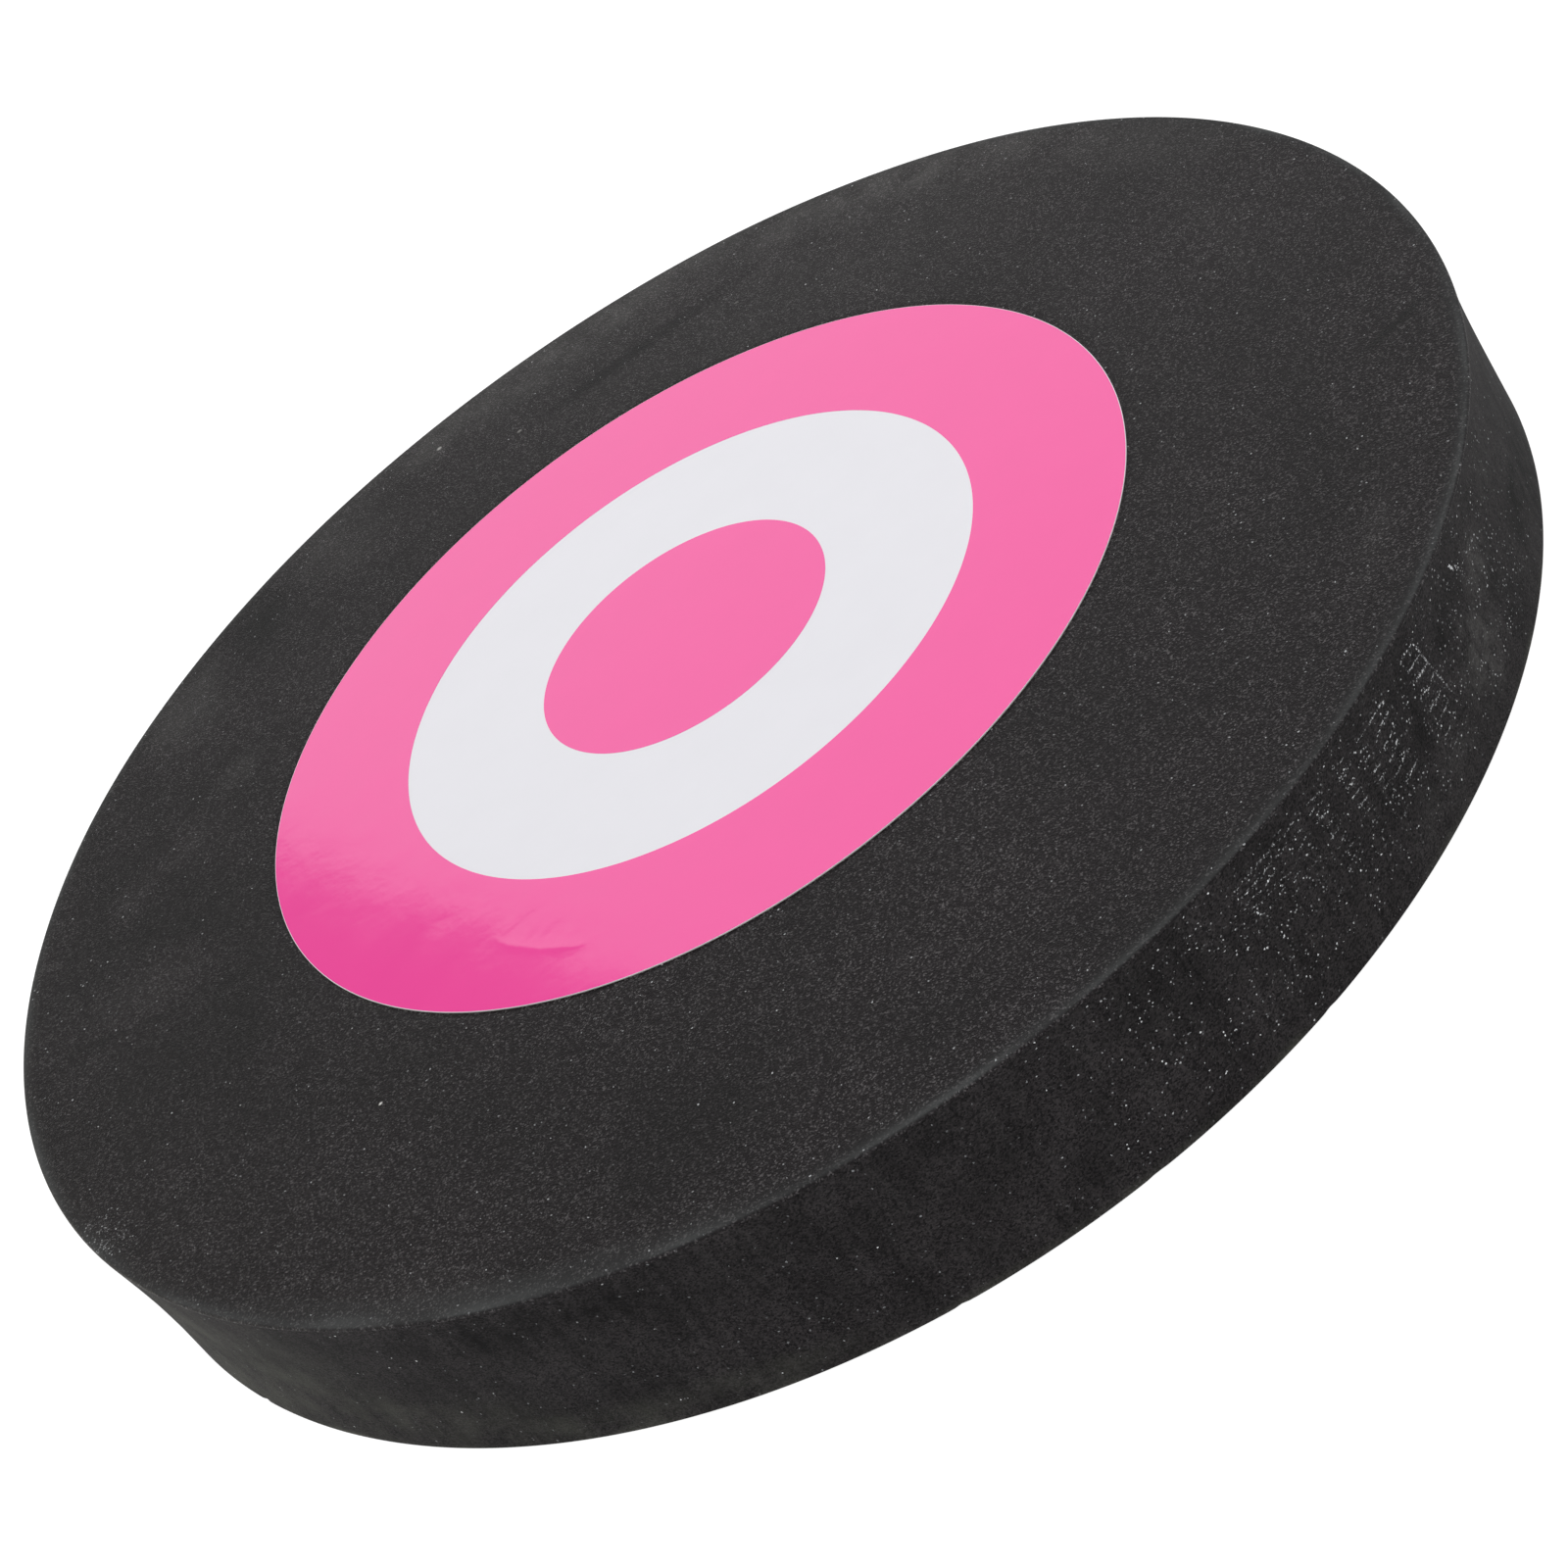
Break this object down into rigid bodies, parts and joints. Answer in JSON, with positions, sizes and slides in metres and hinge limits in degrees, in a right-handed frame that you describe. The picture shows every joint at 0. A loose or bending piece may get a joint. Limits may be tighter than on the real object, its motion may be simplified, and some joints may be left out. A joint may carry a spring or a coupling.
{
  "type": "archery target boss",
  "caption": "Round foam archery target boss with a glossy printed bullseye sticker on its face, for light bows and soft arrows.",
  "frame": {"origin": "centre of the disc's back face", "axes": "+Z out of the printed face along the disc's axis, +X to the right and +Y up for someone who faces the hung boss"},
  "size_m": [0.2486, 0.2486, 0.0297],
  "materials": {
    "foam": "matte",
    "adhesive": "satin",
    "film": "gloss",
    "ink": "gloss"
  },
  "bodies": {
    "root": {"foam_disc": "foam", "sticker_adhesive": "adhesive", "sticker_film": "film", "printed_outer_ring": "ink", "printed_bullseye": "ink"}
  },
  "joints": []
}
